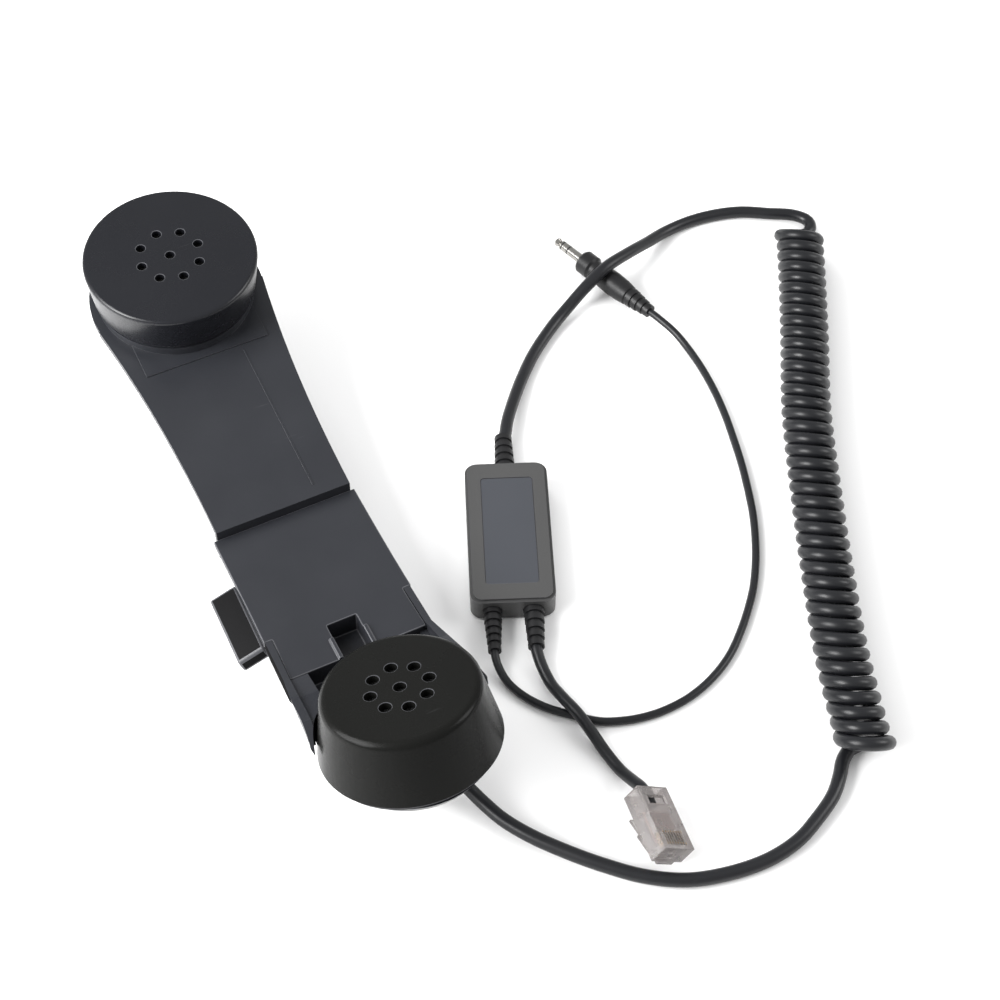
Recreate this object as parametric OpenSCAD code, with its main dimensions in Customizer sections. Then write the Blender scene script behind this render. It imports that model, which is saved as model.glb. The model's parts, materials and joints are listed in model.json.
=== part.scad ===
// Push-to-talk telephone handset with a curly cord, an inline box and two plugs.
// The handset lies on its back, caps up, with its ear end towards +Y.

/* [Handset] */
// Distance from the crease of the handle to the middle of the ear cap
ear_y = 89; // [87:0.5:92]
// Height of the ear cap's face above the surface
ear_z = 59; // [58:0.5:61]
// Lean of the ear cap towards the mouth end, in degrees
ear_tilt = 5; // [3:0.5:7]
// Distance from the crease to the middle of the mouth cap's face
mouth_y = 89; // [88:0.5:91]
// Height of the mouth cap's face above the surface
mouth_z = 49.5; // [48:0.5:50]
// Lean of the mouth cap towards the ear end, in degrees
mouth_tilt = 16; // [14:0.5:17]
// Width of the handle at the crease
waist_w = 45; // [44:0.5:47]
// Wall of the back shell
wall = 2.6; // [2.2:0.1:3]
// Thickness of the two front covers
cover_t = 2.4; // [2:0.1:2.8]

/* [Caps] */
// Radius of the ear cap at its rim
ear_cap_r = 28.3; // [28:0.1:28.5]
// Height of the ear cap
ear_cap_h = 14; // [13:0.5:14.5]
// Radius of the mouth cap at its rim
mouth_cap_r = 23.5; // [23:0.1:24]
// Height of the mouth cap
mouth_cap_h = 20.5; // [19.5:0.5:20.5]
// Radius of a sound hole in the ear cap
ear_hole_r = 1.55; // [1.2:0.05:1.8]
// Radius of a sound hole in the mouth cap
mouth_hole_r = 1.9; // [1.4:0.05:2.1]

/* [Push-to-talk key] */
// Furthest that the key turns in, in degrees
key_travel = 1.6; // [1:0.1:1.8]
// How far the finger block stands out from the key plate
block_out = 9.4; // [6:0.2:10]
// Length of the finger block
block_len = 25.5; // [22:0.5:28]

/* [Cords] */
// Radius of the main cord
cord_r = 2.15; // [2:0.05:2.3]
// Radius over the turns of the curly cord
curl_r = 8.5; // [8:0.1:9]
// Radius of the lead to the jack plug
jack_lead_r = 1.3; // [1.1:0.05:1.5]
// Radius of the lead to the modular plug
plug_lead_r = 1.85; // [1.7:0.05:2]

/* [Inline box] */
// Width of the inline box
box_w = 27; // [26:0.5:29]
// Length of the inline box
box_len = 56; // [54:1:58]
// Height of the inline box
box_t = 10; // [9:0.5:12]

/* [Hidden] */
$fn = 64;

black = [0.07, 0.07, 0.08];
dark = [0.13, 0.13, 0.14];
soft_black = [0.1, 0.1, 0.1];
gold = [0.83, 0.66, 0.3];
silver = [0.76, 0.77, 0.78];
board_green = [0.1, 0.33, 0.2];

// Where the handle's parts are, from the crease
flare_y = 85;
lower_w = 47.6;
lower_z = 24.5;
crease_z = 28;
cover_slope = 0.1405;
ear_end_r = 28.8;
mouth_end_y = 92.5;
mouth_end_r = 28;
trough_y = 57.5;
wing_y = 42;
ear_rest_y = 40;
ear_back_r = 135;
mouth_rest_y = 52;
mouth_back_r = 100;
seat_drop = 22.4;
lean = 0.38;
slack = 0.1;

// The key and its switch
key_z = 15.2;
key_t = 1.2;
key_proud = 1;
key_low = -5.3;
key_high = 4.8;
key_len = 61;
pin_y = 3.6;
pin_in = 0.6;
pin_r = 0.8;
pin_low = -7.6;
pin_len = 13.6;
key_open = key_travel - 0.2;
pad_up = 0.5;
switch_y = 36;
switch_x = -12.4;

// The handset's box is centred on the origin
mid_x = 2.3;
mid_y = (mouth_end_y + mouth_end_r - ear_y - ear_end_r) / 2;

// Cord routes, on the surface that the handset lies on
gland_from = [7, -82, 12.5];
gland_to = [16, -101, 4.4];
handset_route = [[15.2, -99.3, 5.1], [16, -101, 4.4], [18.5, -107.5, 2.7], [21.5, -115, 2.2],
  [26.5, -123.5, 2.2], [33, -132, 2.2], [40.5, -140.5, 2.2], [49.5, -149, 2.2],
  [60, -155.5, 2.2], [72, -159, 2.2], [84, -160.2, 2.2], [95, -158.7, 2.2], [105, -154, 2.2],
  [113, -149.2, 2.2], [119.5, -144.9, 2.2], [124.5, -141.9, 2.2], [129, -139.6, 2.2]];
curl_route = [[128, -140.5, 8.5], [138, -113, 8.5], [150, -86, 8.5], [164, -56.5, 8.5],
  [180, -24.5, 8.5], [196.5, 3.5, 8.5], [213, 32, 8.5], [224, 52, 8.5]];
box_route = [[222.6, 51.5, 2.2], [227, 52, 2.2], [231.5, 54.6, 2.2], [233.3, 59, 2.2],
  [230, 63.8, 2.2], [223, 68.2, 2.2], [213.5, 74, 2.2], [204, 77, 2.2], [193.5, 78.2, 2.2],
  [183, 77, 2.7], [173, 73, 5.2], [162, 68, 9], [151, 63.7, 11], [141.5, 60.8, 8.2],
  [133, 58, 4.4], [124, 53.5, 2.5], [113, 45.5, 2.2], [104, 37, 2.4], [96, 28, 3.4],
  [90, 20.5, 4.3], [87, 16, 4.4], [84.5, 12.5, 4.4]];
jack_route = [[45.3, -60.1, 4.4], [44.1, -62.8, 4.3], [43.4, -67, 3], [43.9, -72.5, 1.7],
  [46.3, -79, 1.35], [50.5, -85.5, 1.35], [56, -91, 1.35], [62.5, -96.8, 1.35],
  [70, -100.2, 1.35], [78, -102, 1.35], [86, -102.2, 1.35], [94, -101, 1.35],
  [102.5, -98, 1.35], [110.5, -93.5, 1.35], [117.5, -87.8, 1.35], [124, -81.5, 1.35],
  [130, -74.8, 1.35], [135.5, -67, 1.35], [140.5, -58.5, 1.35], [145, -49.5, 1.35],
  [149, -39.5, 1.35], [152.7, -29, 1.35], [155.8, -18.5, 1.35], [158.6, -8, 1.35],
  [160.8, 3, 1.35], [162.1, 14, 1.35], [162.3, 24, 1.6], [161.2, 31.5, 2.9],
  [158.9, 38.2, 4.2], [156.9, 44.9, 4.3]];
plug_route = [[57.6, -64.4, 4.4], [56.4, -67.1, 4.3], [55.5, -72.5, 3.2], [55.3, -79, 2.4],
  [55.8, -86, 3.9], [57, -93.5, 4.75], [58, -100.5, 3.6], [58.9, -107.5, 2.1],
  [59.8, -115, 2.4], [60.5, -121, 5], [60.9, -125.5, 7.6], [60.8, -128, 8.2], [60.2, -133, 8.2]];

// The inline box
box_at = [67.8, -25.2];
box_turn = -23.7;
box_edge_r = 4;
box_split = 5.4;
box_wall = 1.6;
relief_z = 4.4;

// The jack plug, from the back of its grip to the shoulder of its shaft
jack_from = [157.5, 43, 4.3];
jack_to = [147.8, 75.5, 4.7];
jack_r = 1.75;
jack_len = 14;

// The modular plug: the middle of its back end, at the cable's middle
plug_at = [60.8, -128, 8.2];
plug_turn = -7;
plug_roll = -35;
plug_w = 11.7;
plug_h = 6.6;
plug_len = 21.5;

module in_handset() translate([mid_x, mid_y, 0]) children();
module at_ear() in_handset() translate([0, ear_y, ear_z]) rotate([ear_tilt, 0, 0]) children();
module at_mouth() in_handset() translate([0, -mouth_y, mouth_z]) rotate([-mouth_tilt, 0, 0]) children();
module at_box() translate([box_at.x, box_at.y, 0]) rotate([0, 0, box_turn]) children();

// The plug's own frame has +Y out of its front and +Z out of its contact side
module at_plug() translate(plug_at) rotate([0, 0, 180 + plug_turn]) rotate([0, plug_roll, 0]) children();

// Turns the children's +Z from one point to another
module aim(from, to) {
  d = to - from;
  translate(from) rotate([0, acos(d.z / norm(d)), atan2(d.y, d.x)]) children();
}

// An extrusion along X of an outline drawn in Y and Z
module across(width) {
  translate([-width / 2, 0, 0]) rotate([90, 0, 90]) linear_extrude(width) children();
}

function unit(v) = v / norm(v);
function tangent(path, i) = unit(path[min(i + 1, len(path) - 1)] - path[max(i - 1, 0)]);
function ring(path, i, r, n) =
  let (t = tangent(path, i), side = unit(cross(t, [0, 0, 1])), up = cross(side, t))
  [for (k = [0 : n - 1]) path[i] + r * (cos(360 * k / n) * side + sin(360 * k / n) * up)];

// A tube swept along a path, with flat ends
module tube(path, r, n = 8) {
  rings = len(path);
  points = [for (i = [0 : rings - 1]) each ring(path, i, r, n)];
  first = [for (k = [0 : n - 1]) k];
  last = [for (k = [n - 1 : -1 : 0]) (rings - 1) * n + k];
  sides = [for (i = [0 : rings - 2]) for (k = [0 : n - 1])
    [i * n + k, (i + 1) * n + k, (i + 1) * n + (k + 1) % n, i * n + (k + 1) % n]];
  polyhedron(points, concat([first], sides, [last]), convexity = 8);
}

// Half the handle's width, above and below the crease
function upper_half(y) = waist_w / 2 + (ear_end_r - waist_w / 2) * pow(y / flare_y, 2.2);
function lower_half(y) = lower_w / 2 + (mouth_end_r - lower_w / 2) * pow(y / mouth_end_y, 3);

module upper_plan(inset = 0) {
  steps = 10;
  edge = [for (i = [0 : steps]) let (y = flare_y * i / steps) [upper_half(y) - inset, y]];
  mirrored = [for (i = [steps : -1 : 0]) [-edge[i].x, edge[i].y]];
  polygon(concat(edge, mirrored));
  translate([0, ear_y]) circle(r = ear_end_r - inset);
}

module lower_plan(inset = 0) {
  steps = 10;
  edge = [for (i = [0 : steps]) let (y = mouth_end_y * i / steps) [lower_half(y) - inset, -y]];
  mirrored = [for (i = [steps : -1 : 0]) [-edge[i].x, edge[i].y]];
  polygon(concat(edge, mirrored));
  translate([0, -mouth_end_y]) circle(r = mouth_end_r - inset);
}

// Height of the seat under the mouth cap's flange, at a distance y towards the mouth end
function seat_z(y) = mouth_z - seat_drop / cos(mouth_tilt) + (y - mouth_y) * tan(mouth_tilt);

// The side view of the back: flat where it rests, and an arc up to each end
module back_side(inset = 0) {
  far = 90;
  translate([-mouth_rest_y, inset]) square([mouth_rest_y + ear_rest_y, far]);
  intersection() {
    translate([ear_rest_y, ear_back_r]) circle(r = ear_back_r - inset, $fn = 180);
    translate([ear_rest_y, 0]) square(far);
  }
  intersection() {
    translate([-mouth_rest_y, mouth_back_r]) circle(r = mouth_back_r - inset, $fn = 180);
    translate([-mouth_rest_y - far, 0]) square(far);
  }
}

// The cross-section: both side walls lean in towards the back
module belly(inset = 0) {
  top = 60;
  tuck = 2.4;
  for (part = [[0, waist_w / 2, crease_z, 130], [-130, lower_w / 2, lower_z, 130.01]]) {
    wide = part[1] + lean * (top - part[2]) - inset * 1.07;
    base = part[1] - lean * part[2] - inset * 1.07;
    translate([0, part[0] + part[3], 0]) rotate([90, 0, 0]) linear_extrude(part[3])
      polygon([[-base + tuck, 0], [base - tuck, 0], [base + lean * tuck, tuck], [wide, top],
        [-wide, top], [-base - lean * tuck, tuck]]);
  }
}

// Everything under the covers and under the mouth cap's seat
module under_covers() {
  end = 125;
  knee = 66;
  lip = 2;
  top = crease_z - cover_t;
  polygon([[end, -1], [end, top + cover_slope * end], [lip, top + cover_slope * lip],
    [lip, lower_z - cover_t], [-trough_y - 3, lower_z - cover_t], [-knee, seat_z(knee)],
    [-end, seat_z(end)], [-end, -1]]);
}

// The back tucks in under the mouth cap; each slice is a height, a distance and a radius
module tucked_end(inset = 0) {
  slices = [[5, -73, 13], [10, -77.5, 17], [15, -82, 20], [20, -86, 22.4], [25, -90, 24],
    [31, -93, 25.4], [37, -95, 26]];
  translate([-50, -66, -5]) cube([100, 200, 90]);
  hull() {
    for (p = slices) translate([0, p[1], p[0]]) cylinder(r = p[2] - inset, h = 0.1);
    intersection() {
      belly(inset);
      translate([-50, -66, 0]) cube([100, 1, 36]);
    }
  }
}

module shell_block(inset = 0, raise = 0) {
  intersection() {
    tucked_end(inset);
    linear_extrude(80) {
      upper_plan(inset);
      lower_plan(inset);
    }
    belly(inset);
    across(90) intersection() {
      back_side(inset);
      translate([0, raise]) under_covers();
    }
  }
}

// The two side walls that rise beside the mouth cap
module wings() {
  intersection() {
    linear_extrude(60) difference() {
      lower_plan();
      lower_plan(wall);
    }
    belly();
    across(90) polygon([[-wing_y, 16], [-wing_y, lower_z], [-57, 25.2], [-66, 28.5], [-79, 35],
      [-88, 34.5], [-94, 30], [-94, 26], [-80, 16]]);
  }
  // shoulder between the key's side and the mouth cap
  intersection() {
    linear_extrude(60) lower_plan(0.5);
    belly(0.5);
    translate([-40, -84, 0]) cube([23.4, 26.3, 60]);
    across(90) polygon([[-57.7, 16], [-57.7, lower_z], [-66, 27], [-79, 34], [-84, 34], [-84, 16]]);
  }
}

// The children lie on the key's side wall: +X into the handle, +Z up along the wall
module on_side() translate([-lower_w / 2 + lean * (lower_z - key_z), 0, key_z])
  rotate([0, -atan(lean), 0]) children();

// The key at rest, swung out about its pin
module on_key() in_handset() on_side() translate([pin_in, -pin_y, 0]) rotate([0, 0, -key_open])
  translate([-pin_in, pin_y, 0]) children();

// Screw posts stand at these places under the covers
posts = [[-8, 52], [8, 52], [-8, 12], [8, 12], [10.5, -11.5], [10.5, -51.5]];
post_r = 3.4;
screw_r = 1.25;

module back_shell() color(black) in_handset() difference() {
  union() {
    difference() {
      union() {
        shell_block();
        wings();
      }
      shell_block(wall, 1);
    }
    // bosses of the key's pin
    on_side() for (z = [-7.9, 5.3]) translate([pin_in, -pin_y, z]) cylinder(r = 1.8, h = z < 0 ? 2 : 1);
    intersection() {
      for (p = posts) translate([p.x, p.y, 0]) cylinder(r = 4.6, h = 7.6);
      shell_block();
    }
  }
  // window for the key, and the bore for its pin
  on_side() {
    translate([-6, -key_len - 0.6, key_low - 0.6]) cube([9.4, key_len - 0.6, key_high - key_low + 1.1]);
    translate([pin_in, -pin_y, pin_low]) cylinder(r = pin_r, h = pin_len);
  }
  // clear space round the mouth cap
  translate([0, -mouth_y, mouth_z]) rotate([-mouth_tilt, 0, 0]) {
    translate([0, 0, -seat_drop]) cylinder(r = 27.6, h = 5);
    translate([0, 0, -seat_drop + 4.9]) cylinder(r1 = 27.6, r2 = 22.8, h = 27);
  }
  // screws from the back
  for (p = posts) translate([p.x, p.y, -1]) {
    cylinder(r = screw_r + 0.2, h = 12);
    cylinder(r = 2.9, h = 5);
  }
  // cord gland
  translate([-mid_x, -mid_y, 0]) aim(gland_from, gland_to) translate([0, 0, -4])
    cylinder(r = 4.55, h = 40);
}

module ear_cover() color(black) in_handset() difference() {
  union() {
    intersection() {
      linear_extrude(80) upper_plan();
      across(90) polygon([[0, lower_z - cover_t], [0, crease_z],
        [125, crease_z + cover_slope * 125], [125, crease_z - cover_t + cover_slope * 125],
        [2, crease_z - cover_t + cover_slope * 2], [2, lower_z - cover_t]]);
    }
    // raised pad under the ear collar
    intersection() {
      translate([-21, 62, 30]) cube([42, 38, 20]);
      across(90) polygon([[0, crease_z - 1], [0, crease_z + pad_up],
        [125, crease_z + pad_up + cover_slope * 125], [125, crease_z - 1 + cover_slope * 125]]);
    }
    translate([0, ear_y, ear_z]) rotate([ear_tilt, 0, 0]) {
      translate([0, 0, -22.4]) cylinder(r = 22.4, h = 4);
      translate([0, 0, -19.1]) cylinder(r = 24.3, h = 15.5);
      translate([0, 0, -19.1]) cylinder(r = 26, h = 2.9);
    }
    // a fine mould line along the cover
    mould_line();
    for (p = [for (q = posts) if (q.y > 0) q]) translate([p.x, p.y, 7.6])
      cylinder(r = post_r, h = crease_z - cover_t + cover_slope * p.y - 7.2);
  }
  translate([0, ear_y, ear_z]) rotate([ear_tilt, 0, 0]) {
    translate([0, 0, -20.4]) cylinder(r = 21.6, h = 30);
    translate([9, 0, -30]) cylinder(r = 2.2, h = 20);
  }
  for (p = [for (q = posts) if (q.y > 0) q]) translate([p.x, p.y, 7])
    cylinder(r = screw_r + 0.05, h = 13);
}

module mould_line() {
  translate([11.7, 0, 0]) across(0.5) polygon([[4, crease_z + 0.4], [4, crease_z + 0.75],
    [60, crease_z + 0.12 + cover_slope * 60], [60, crease_z - 0.6 + cover_slope * 60]]);
}

module grip_cover() color(black) in_handset() {
  notch_w = 9.6;
  notch_y = 44.5;
  floor_z = 16.6;
  difference() {
    union() {
      // the plate, narrower between the side walls
      intersection() {
        translate([0, 0, lower_z - cover_t]) linear_extrude(cover_t) union() {
          intersection() {
            lower_plan();
            translate([-40, -wing_y]) square([80, wing_y]);
          }
          intersection() {
            lower_plan(wall + slack);
            translate([-40, -trough_y]) square([80, trough_y - wing_y + 1]);
          }
        }
      }
      // the trough's wall and floor in front of the mouth cap
      intersection() {
        translate([0, 0, floor_z - 1.6]) linear_extrude(lower_z - floor_z) lower_plan(wall + slack);
        belly(wall + slack);
        difference() {
          translate([-16.4, -67.4, floor_z - 1.6]) cube([38, 11.9, lower_z - floor_z]);
          translate([-40, -68, floor_z]) cube([80, 68 - trough_y, 12]);
        }
      }
      // walls of the notch
      translate([-notch_w / 2 - 1.4, -trough_y, floor_z - 1.6])
        cube([notch_w + 2.8, trough_y - notch_y + 1.4, lower_z - floor_z + 1.6]);
      for (s = [-1, 1]) translate([s * (notch_w / 2 + 0.7) - 0.7, -trough_y, lower_z])
        cube([1.4, 8, 0.9]);
      for (p = [for (q = posts) if (q.y < 0) q]) translate([p.x, p.y, 7.6])
        cylinder(r = post_r, h = lower_z - 7.8);
    }
    translate([-notch_w / 2, -trough_y - 1, floor_z]) cube([notch_w, trough_y + 1 - notch_y, 12]);
    for (p = [for (q = posts) if (q.y < 0) q]) translate([p.x, p.y, 7])
      cylinder(r = screw_r + 0.05, h = 12);
    translate([0, -mouth_y, mouth_z]) rotate([-mouth_tilt, 0, 0]) translate([0, 0, -60])
      cylinder(r = 27, h = 80);
  }
}

// Places the children at the middle and at eight places round it
module sound_holes(pitch_r, turn) {
  children();
  for (a = [0 : 45 : 315]) rotate([0, 0, a + turn]) translate([pitch_r, 0, 0]) children();
}

// A screw-on cap: rounded rim, tapered skirt, stepped bore
module cap(top_r, low_r, h, rim, bore_r, low_bore_r, step) {
  inner = 2.6;
  rim_arc = [for (a = [90 : -15 : 0]) [top_r - rim + rim * cos(a), -rim + rim * sin(a)]];
  difference() {
    rotate_extrude($fn = 120) polygon(concat([[0, -inner], [0, 0]], rim_arc,
      [[low_r, -h], [low_bore_r, -h], [bore_r, -step], [bore_r, -inner]]));
    children();
  }
}

module ear_cap() color(black) at_ear()
  cap(ear_cap_r, ear_cap_r - 1.5, ear_cap_h, 1.3, 24.3 + slack, 24.3 + slack, 6)
    translate([0, 0, -5]) sound_holes(10, 5) cylinder(r = ear_hole_r, h = 8);

module mouth_cap() color(black) at_mouth()
  cap(mouth_cap_r, mouth_cap_r + 3.5, mouth_cap_h, 2.6, 20.5 + slack, 24.4, 12)
    translate([0, 0, -5]) sound_holes(8.7, -6) cylinder(r = mouth_hole_r, h = 8);

module washer(outer, inner, low, h) {
  translate([0, 0, low]) difference() {
    cylinder(r = outer, h = h);
    translate([0, 0, -1]) cylinder(r = inner, h = h + 2);
  }
}

module ear_cap_seal() color(soft_black) at_ear() washer(24.2, 21.8, -3.6, 0.9);

module ear_dust_disc() color(dark) at_ear() translate([0, 0, -3.3]) cylinder(r = 21.4, h = 0.5);

module earphone_case() color("dimgray") at_ear() difference() {
  translate([0, 0, -20.3]) cylinder(r = 21.3, h = 15.3);
  translate([0, 0, -18.6]) cylinder(r = 19.6, h = 20);
  translate([9, 0, -22]) cylinder(r = 2, h = 6);
}

module earphone_grille() color("gray") at_ear() difference() {
  translate([0, 0, -4.9]) cylinder(r = 21.3, h = 1);
  translate([0, 0, -6]) {
    for (a = [0 : 30 : 330]) rotate([0, 0, a]) translate([14, 0, 0]) cylinder(r = 1, h = 4);
    for (a = [0 : 60 : 300]) rotate([0, 0, a]) translate([7, 0, 0]) cylinder(r = 1, h = 4);
  }
}

module earphone_cone() color("tan") at_ear() rotate_extrude() {
  polygon([[0, -9.2], [5, -9.2], [6, -10.6], [17.4, -6.8], [19.4, -6.8], [19.4, -6.2],
    [17.2, -6.2], [6.2, -9.8], [5.2, -8.6], [0, -8.6]]);
}

module earphone_magnet() color(silver) at_ear() rotate_extrude() {
  polygon([[0, -18.5], [11, -18.5], [11, -12.6], [7, -12.6], [7, -16], [5.6, -16], [5.6, -12],
    [0, -12]]);
}

module mouth_housing() color(black) at_mouth() difference() {
  union() {
    translate([0, 0, -seat_drop]) cylinder(r = 25.6, h = 1.8);
    translate([0, 0, -23.6]) cylinder(r = 20.5, h = 20.1);
  }
  translate([0, 0, -22.2]) cylinder(r = 18.2, h = 30);
  translate([0, 10, -30]) cylinder(r = 2.2, h = 20);
}

module mouth_cap_seal() color(soft_black) at_mouth() washer(20.4, 18.4, -3.45, 0.8);

module mouth_dust_disc() color(dark) at_mouth() translate([0, 0, -3.2]) cylinder(r = 18, h = 0.5);

module microphone_case() color("dimgray") at_mouth() difference() {
  translate([0, 0, -22.1]) cylinder(r = 18, h = 17.3);
  translate([0, 0, -20.6]) cylinder(r = 16.4, h = 20);
  translate([0, 10, -24]) cylinder(r = 2, h = 6);
}

module microphone_grille() color("gray") at_mouth() difference() {
  translate([0, 0, -4.7]) cylinder(r = 18, h = 1);
  translate([0, 0, -6]) for (a = [0 : 45 : 315]) rotate([0, 0, a]) translate([8, 0, 0])
    cylinder(r = 1.1, h = 4);
}

module microphone_element() color(silver) at_mouth() {
  translate([0, 0, -20.5]) cylinder(r = 8, h = 9);
  translate([0, 0, -11.5]) cylinder(r = 6.6, h = 1.2);
}

// The key's plate turns on its pin at the crease end
module key_plate() color(black) on_key() difference() {
  height = key_high - key_low;
  union() {
    translate([-key_proud, -key_len, key_low]) cube([key_t, key_len - 1.8, height]);
    translate([pin_in, -pin_y, key_low]) cylinder(r = 1.7, h = height);
  }
  translate([pin_in, -pin_y, key_low - 1]) cylinder(r = pin_r + 0.05, h = height + 2);
}

module key_block() color(black) on_key() translate([-key_proud - block_out / 2, 0, 0])
  across(block_out) polygon([[-14.3, 1], [-14.3, 4.6], [-14.3 - block_len, 4.6],
    [-16 - block_len, 1]]);

module key_pin() color(silver) in_handset() on_side() translate([pin_in, -pin_y, pin_low])
  cylinder(r = pin_r, h = pin_len);

// A rubber sheet closes the key's window from inside
module key_seal() color(soft_black) in_handset() difference() {
  on_side() translate([wall + 0.05, -key_len - 1.4, -6.7]) cube([0.8, key_len + 1.3, 12.7]);
  translate([-25, -switch_y, key_z]) rotate([0, 90, 0]) cylinder(r = 1.9, h = 12);
}

module switch_body() color("dimgray") in_handset() difference() {
  translate([switch_x, -switch_y - 7, key_z - 5.4]) cube([8, 14, 10.8]);
  translate([switch_x - 1, -switch_y, key_z]) rotate([0, 90, 0]) cylinder(r = 1.75, h = 5.6);
}

module switch_plunger() color("ivory") in_handset()
  translate([-19.95, -switch_y, key_z]) rotate([0, 90, 0]) {
    cylinder(r = 1.65, h = 10.35);
    translate([0, 0, 4.55]) cylinder(r = 2.6, h = 0.5);
  }

module switch_spring() color(silver) in_handset() {
  turns = 3;
  steps = 12;
  low = switch_x - 1.15;
  high = switch_x - 0.2;
  coil = [for (i = [0 : turns * steps]) let (a = 360 * i / steps, f = i / (turns * steps))
    [low + (high - low) * f, -switch_y + 2.25 * cos(a), key_z + 2.25 * sin(a)]];
  points = [for (i = [0 : len(coil) - 1]) let (t = tangent(coil, i), side = unit(cross(t, [1, 0, 0])),
    up = cross(side, t)) each [for (k = [0 : 4]) coil[i] + 0.17 * (cos(72 * k) * side + sin(72 * k) * up)]];
  sides = [for (i = [0 : len(coil) - 2]) for (k = [0 : 4])
    [i * 5 + k, (i + 1) * 5 + k, (i + 1) * 5 + (k + 1) % 5, i * 5 + (k + 1) % 5]];
  polyhedron(points, concat([[0, 1, 2, 3, 4]], sides,
    [[for (k = [4 : -1 : 0]) (len(coil) - 1) * 5 + k]]), convexity = 6);
}

module switch_bracket() color(silver) in_handset() {
  low = key_z - 6.6;
  translate([switch_x, -switch_y - 7, low]) cube([6, 14, 1.2]);
  for (s = [-1, 1]) {
    translate([switch_x, -switch_y + s * 7.6 - 0.6, low]) cube([6, 1.2, 8]);
    translate([switch_x, -switch_y + s * 6 - 0.6, wall]) cube([4, 1.2, low - wall]);
  }
}

module terminal_board() color(board_green) in_handset() difference() {
  translate([-7, -41, 6]) cube([16, 24, 1.6]);
  for (x = [-3, 5]) for (y = [-37, -29, -21]) translate([x, y, 5]) cylinder(r = 0.9, h = 4);
}

module terminal_screws() color(gold) in_handset()
  for (x = [-3, 5]) for (y = [-37, -29, -21]) translate([x, y, 3.4]) {
    cylinder(r = 0.85, h = 5);
    translate([0, 0, 4.2]) cylinder(r = 1.9, h = 1.3);
  }

module ear_wires() color("firebrick") in_handset() for (s = [-1, 1]) {
  tube([[1 + s * 4, -20.5, 10.4], [2 + s * 2, -12, 11], [1.5 * s, 2, 11], [1.5 * s, 24, 11],
    [1.5 * s, 48, 13], [4 + s, 66, 20], [8 + s, 82, 29], [9 + s * 0.9, 90.2, 34],
    [9 + s * 0.9, 90.7, 39.2]], 0.6, 6);
}

module mouth_wires() color("royalblue") in_handset() for (s = [-1, 1]) {
  tube([[1 + s * 4, -37.5, 10.4], [s * 2, -46, 11], [s * 2, -56, 11.2], [s * 1.6, -63.5, 12.4],
    [s * 1.5, -68.2, 14.7], [s * 1.5 - 1.0, -71.0, 18.1], [s * 1.4 - 1.0, -78, 17.4],
    [s * 1.2 - 1.0, -85.4, 19.8], [s * 1.1, -86.9, 21.2], [s * 1.1, -85.9, 24.6]], 0.6, 6);
}

module switch_wires() color("white") in_handset() for (s = [-1, 1]) {
  tube([[-3.8, -34 + s * 3, 14], [-3, -33 + s * 3, 12.5], [-2.6, -31 + s * 3, 11.2],
    [-2.4, -29 + s * 2, 9.5]], 0.5, 6);
}

module shell_screws() color(silver) in_handset() for (p = posts) translate([p.x, p.y, 1.4])
  difference() {
    union() {
      cylinder(r = screw_r, h = 15);
      cylinder(r = 2.6, h = 2.4);
    }
    translate([-0.35, -1.9, -1]) cube([0.7, 3.8, 2.2]);
    translate([-1.9, -0.35, -1]) cube([3.8, 0.7, 2.2]);
  }

module cord_gland() color(soft_black) aim(gland_from, gland_to) difference() {
  length = norm(gland_to - gland_from);
  rotate_extrude() {
    groove = 0.6;
    polygon([[0, -3], [6.2, -3], [6.2, -1.2], [4.5, -1.2], [4.5, 5],
      for (i = [0 : 4]) let (z = 5 + i * 3, r = 4.3 - i * 0.25)
        each [[r, z], [r, z + 1.9], [r - groove, z + 2], [r - groove, z + 2.9]],
      [3, length], [0, length]]);
  }
  translate([0, 0, -4]) cylinder(r = cord_r + 0.05, h = 40);
}

module cord_clamp() color(silver) in_handset() difference() {
  translate([-9, -80.5, 14.6]) rotate([0, 0, 25]) cube([18, 5, 1.4]);
  for (s = [-1, 1]) translate([s * 6.4 + 0.1, -78.2 + s * 3, 12]) cylinder(r = 1.15, h = 6);
}

module clamp_screws() color(silver) in_handset() for (s = [-1, 1])
  translate([s * 6.4 + 0.1, -78.2 + s * 3, 11.4]) {
    cylinder(r = 1.1, h = 5);
    translate([0, 0, 4.6]) cylinder(r = 2.1, h = 1.2);
  }

module handset_cord() color(dark) tube(handset_route, cord_r);

module curl_cord() color(dark) tube(curl_route, curl_r, 12);

module box_cord() color(dark) tube(box_route, cord_r);

// A flat box with round corners, drawn about the middle of its base
module round_box(w, len, h, r) {
  linear_extrude(h) {
    square([w - 2 * r, len], center = true);
    square([w, len - 2 * r], center = true);
    for (x = [-1, 1]) for (y = [-1, 1]) translate([x * (w / 2 - r), y * (len / 2 - r)])
      circle(r = r);
  }
}

box_ports = [[0, 1, 3.5], [-6.6, -1, 3.1], [6.4, -1, 3.4]];

module port_holes() {
  for (p = box_ports) translate([p.x, p.y * (box_len / 2 + 2), relief_z])
    rotate([p.y * 90, 0, 0]) cylinder(r = p.z, h = 8);
}

module box_top() color(dark) at_box() difference() {
  translate([0, 0, box_split]) {
    round_box(box_w, box_len, box_t - box_split - 0.9, box_edge_r);
    round_box(box_w - 1.8, box_len - 1.8, box_t - box_split, box_edge_r - 0.9);
  }
  translate([0, 0, box_split - 1]) round_box(box_w - 2 * box_wall, box_len - 2 * box_wall,
    box_t - box_split + 1 - box_wall, box_edge_r - box_wall);
  translate([0, 0, box_t - 0.5]) round_box(17, 42.6, 2, 1.2);
  port_holes();
}

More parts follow.
